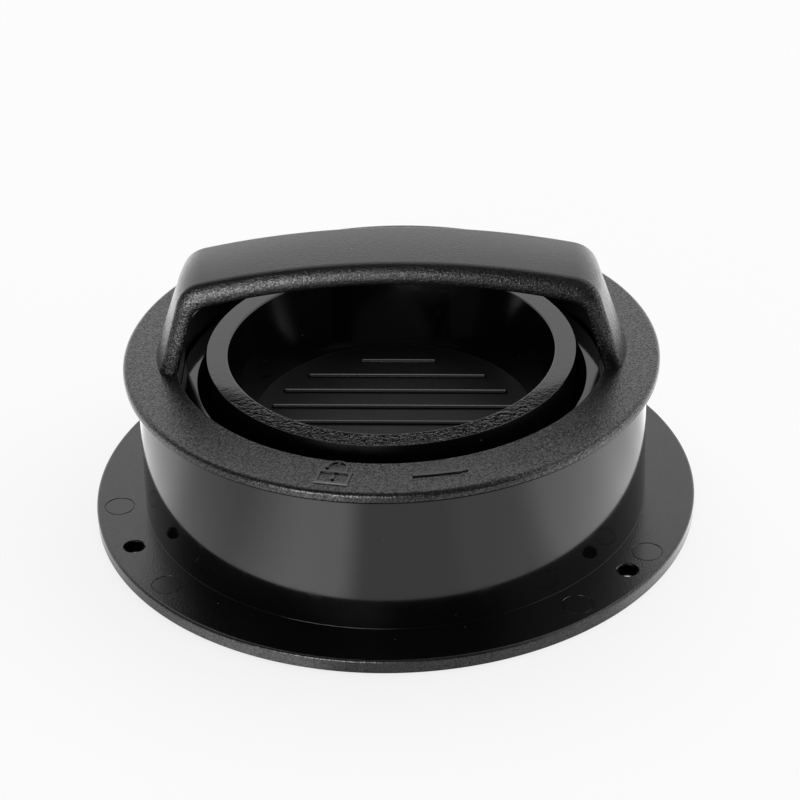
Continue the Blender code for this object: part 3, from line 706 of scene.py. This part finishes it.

# ============================================================ floor, light, camera
# the second value is the floor's painted shadow inside the mould, as the camera sees it
FLOOR_CAMERA, FLOOR_PAINTED_SHADOW = 0.795, 0.03
FLOOR_FRONT, FLOOR_LEFT, FLOOR_RIGHT, FLOOR_SIDE, FLOOR_BACK = 0.92, 1.2, 0.82, 0.42, 0.70
SKY_BASE, SKY_BACK, SKY_RIGHT, SKY_LEFT, SKY_SHADE = 1.0, 0.32, 0.12, 0.68, 0.76
SKY_GAP, CARD_LEFT, PANEL_RIGHT, FLOOR_FAR = 0.82, 7.4, 2.0, 0.88
fl = bpy.data.meshes.new("floor")
bm = bmesh.new()
bmesh.ops.create_grid(bm, x_segments=1, y_segments=1, size=3.0)
bm.to_mesh(fl)
bm.free()
floor = link(bpy.data.objects.new("studio_floor", fl))
floor.location.z = -0.00005
m, nt, bsdf = new_mat("pale_floor")
bsdf.inputs["Base Color"].default_value = (0.22, 0.22, 0.22, 1.0)
bsdf.inputs["Roughness"].default_value = 0.9
bsdf.inputs["Specular IOR Level"].default_value = 0.1
bsdf.inputs["Emission Color"].default_value = (1.0, 1.0, 1.0, 1.0)
bsdf.inputs["Emission Strength"].default_value = FLOOR_CAMERA
# what the object sees of the floor: soft light that is stronger at the sides
geo = node(nt, "ShaderNodeNewGeometry")
fs = node(nt, "ShaderNodeSeparateXYZ")
nt.links.new(geo.outputs["Position"], fs.inputs["Vector"])
round_z = math(nt, 'ARCTAN2', fs.outputs["X"], math(nt, 'MULTIPLY', fs.outputs["Y"], -1.0))


def sector(az0, az1, soft0, soft1, amount):
    """Soft-edged sector of the floor; azimuth 0 is -Y and positive towards +X."""
    a = remap(nt, round_z, radians(az0 - soft0), radians(az0 + soft0), 0.0, 1.0, True)
    b = remap(nt, round_z, radians(az1 - soft1), radians(az1 + soft1), 1.0, 0.0, True)
    return math(nt, 'MULTIPLY', math(nt, 'MULTIPLY', a, b), amount)


level = math(nt, 'ADD', sector(-38.0, -11.5, 14.0, 4.5, FLOOR_LEFT), FLOOR_FRONT)
level = math(nt, 'ADD', level, sector(46.0, 88.0, 7.0, 8.0, FLOOR_RIGHT))
level = math(nt, 'ADD', level, sector(20.0, 44.0, 4.0, 4.0, 0.12))
level = math(nt, 'ADD', level, sector(-104.0, -76.0, 6.0, 8.0, FLOOR_SIDE))
level = math(nt, 'ADD', level, sector(88.0, 106.0, 8.0, 6.0, FLOOR_SIDE))
level = math(nt, 'ADD', level, sector(-164.0, -108.0, 6.0, 8.0, FLOOR_BACK))
level = math(nt, 'ADD', level, sector(108.0, 164.0, 6.0, 8.0, FLOOR_BACK))
# farther off in front and to the right the floor lies in the shade
reach = node(nt, "ShaderNodeVectorMath", operation='LENGTH')
nt.links.new(geo.outputs["Position"], reach.inputs[0])
far = remap(nt, reach.outputs["Value"], 0.18, 0.27, 0.0, 1.0, True)
dim = math(nt, 'MULTIPLY', far, sector(-4.0, 66.0, 8.0, 12.0, FLOOR_FAR))
level = math(nt, 'MULTIPLY', level, math(nt, 'SUBTRACT', 1.0, dim))
# no light comes from under the flange
level = math(nt, 'MULTIPLY', level, remap(nt, reach.outputs["Value"], 0.0745, 0.0790, 0.0, 1.0, True))
glow = node(nt, "ShaderNodeEmission")
nt.links.new(level, glow.inputs["Strength"])
path = node(nt, "ShaderNodeLightPath")
mixer = node(nt, "ShaderNodeMixShader")
nt.links.new(path.outputs["Is Camera Ray"], mixer.inputs["Fac"])
nt.links.new(glow.outputs["Emission"], mixer.inputs[1])
nt.links.new(bsdf.outputs["BSDF"], mixer.inputs[2])
# inside the mould and under the flange the floor is dark to the eye too: a painted shadow of the object on the floor
painted_shadow_floor = remap(nt, reach.outputs["Value"], 0.0560, 0.0600, FLOOR_PAINTED_SHADOW, FLOOR_CAMERA, True)
nt.links.new(painted_shadow_floor, bsdf.inputs["Emission Strength"])
# seen from underneath the floor is clear, and the underside takes light through it
inner = math(nt, 'LESS_THAN', reach.outputs["Value"], 0.0600)
close = math(nt, 'MULTIPLY', math(nt, 'LESS_THAN', reach.outputs["Value"], 0.0765),
             math(nt, 'LESS_THAN', path.outputs["Ray Length"], 0.0006))
opened = math(nt, 'MULTIPLY', math(nt, 'MAXIMUM', inner, close),
              math(nt, 'SUBTRACT', 1.0, path.outputs["Is Camera Ray"]))
seen_below = math(nt, 'MULTIPLY', geo.outputs["Backfacing"], path.outputs["Is Camera Ray"])
through = node(nt, "ShaderNodeMixShader")
under = node(nt, "ShaderNodeBsdfTransparent")
nt.links.new(math(nt, 'MAXIMUM', opened, seen_below), through.inputs["Fac"])
nt.links.new(mixer.outputs["Shader"], through.inputs[1])
nt.links.new(under.outputs["BSDF"], through.inputs[2])
nt.links.new(through.outputs["Shader"], nt.nodes["Material Output"].inputs["Surface"])
fl.materials.append(m)

world = bpy.data.worlds.new("studio")
scene.world = world
world.use_nodes = True
wn = world.node_tree
bg = wn.nodes["Background"]
tc = node(wn, "ShaderNodeTexCoord")
sep = node(wn, "ShaderNodeSeparateXYZ")
wn.links.new(tc.outputs["Generated"], sep.inputs["Vector"])
# azimuth 0 is in front of the object (-Y) and positive towards +X; elevation from the floor
azimuth = math(wn, 'ARCTAN2', sep.outputs["X"], math(wn, 'MULTIPLY', sep.outputs["Y"], -1.0))
elevation = math(wn, 'ARCSINE', sep.outputs["Z"], 0.0)


def towards(az, el, full, none):
    """1 within full degrees of a direction, falling to 0 at none degrees."""
    d = node(wn, "ShaderNodeVectorMath", operation='DOT_PRODUCT')
    wn.links.new(tc.outputs["Generated"], d.inputs[0])
    a, e = radians(az), radians(el)
    d.inputs[1].default_value = (sin(a) * cos(e), -cos(a) * cos(e), sin(e))
    return remap(wn, d.outputs["Value"], cos(radians(none)), cos(radians(full)), 0.0, 1.0, True)


def panel(az0, az1, az_soft, el1, el_soft):
    """A soft-edged panel standing on the floor between two azimuths."""
    a = remap(wn, azimuth, radians(az0 - az_soft), radians(az0 + az_soft), 0.0, 1.0, True)
    b = remap(wn, azimuth, radians(az1 - az_soft), radians(az1 + az_soft), 1.0, 0.0, True)
    c = remap(wn, elevation, radians(el1 - el_soft), radians(el1 + el_soft), 1.0, 0.0, True)
    return math(wn, 'MULTIPLY', math(wn, 'MULTIPLY', a, b), c)


val = math(wn, 'ADD', math(wn, 'MULTIPLY', towards(180.0, 32.0, 25.0, 75.0), SKY_BACK), SKY_BASE)
val = math(wn, 'ADD', val, math(wn, 'MULTIPLY', towards(95.0, 15.0, 20.0, 65.0), SKY_RIGHT))
val = math(wn, 'MULTIPLY', val, math(wn, 'SUBTRACT', 1.0, math(wn, 'MULTIPLY', towards(-72.0, 30.0, 22.0, 48.0), SKY_LEFT)))
shade = math(wn, 'SUBTRACT', 1.0, math(wn, 'MULTIPLY', towards(0.0, 57.0, 28.0, 48.0), SKY_SHADE))
val = math(wn, 'MULTIPLY', val, shade)
gap = math(wn, 'SUBTRACT', 1.0, math(wn, 'MULTIPLY', towards(30.0, 8.0, 14.0, 34.0), SKY_GAP))
val = math(wn, 'MULTIPLY', val, gap)
val = math(wn, 'ADD', val, math(wn, 'MULTIPLY', panel(60.0, 118.0, 10.0, 13.0, 7.0), PANEL_RIGHT))
wn.links.new(val, bg.inputs["Strength"])
bg.inputs["Color"].default_value = (1.0, 1.0, 1.0, 1.0)

# a low soft card in front to the left; its light fades towards its right end
me = bpy.data.meshes.new("soft_card")
bm = bmesh.new()
bmesh.ops.create_grid(bm, x_segments=1, y_segments=1, size=0.5)
bmesh.ops.transform(bm, matrix=Matrix.Translation((-0.16, -0.41, 0.105)) @ Matrix.Rotation(radians(90), 4, 'X')
                    @ Matrix.Diagonal((0.52, 0.21, 1.0, 1.0)), verts=bm.verts)
bm.to_mesh(me)
bm.free()
card = link(bpy.data.objects.new("soft_card", me))
m, nt, bsdf = new_mat("card_light")
nt.nodes.remove(bsdf)
cg = node(nt, "ShaderNodeNewGeometry")
cs = node(nt, "ShaderNodeSeparateXYZ")
nt.links.new(cg.outputs["Position"], cs.inputs["Vector"])
fade = math(nt, 'MULTIPLY', remap(nt, cs.outputs["X"], -0.105, 0.030, 1.0, 0.0, True),
            remap(nt, cs.outputs["X"], -0.42, -0.30, 0.0, 1.0, True))
fade = math(nt, 'MULTIPLY', fade, remap(nt, cs.outputs["Z"], 0.13, 0.21, 1.0, 0.0, True))
glow = node(nt, "ShaderNodeEmission")
nt.links.new(math(nt, 'MULTIPLY', fade, CARD_LEFT), glow.inputs["Strength"])
clear = node(nt, "ShaderNodeBsdfTransparent")
both = node(nt, "ShaderNodeAddShader")
nt.links.new(glow.outputs["Emission"], both.inputs[0])
nt.links.new(clear.outputs["BSDF"], both.inputs[1])
nt.links.new(both.outputs["Shader"], nt.nodes["Material Output"].inputs["Surface"])
me.materials.append(m)
card.visible_camera = False
card.visible_diffuse = False
card.visible_shadow = False

cam = bpy.data.cameras.new("camera")
cam.sensor_width = 36.0
cam.lens = 113.4
cam.clip_start = 0.01
cam_ob = link(bpy.data.objects.new("camera", cam))
X = Vector((0.9995824, 0.01448383, -0.02500507))
Y = Vector((0.01385171, 0.51926443, 0.85450136))
Z = -Vector((-0.0253607, 0.85449088, -0.51884696))
rot = Matrix((X, Y, Z)).transposed()
cam_ob.matrix_world = Matrix.Translation((0.0181962, -0.5502769, 0.3624186)) @ rot.to_4x4()
scene.camera = cam_ob
scene.view_settings.view_transform = 'Standard'
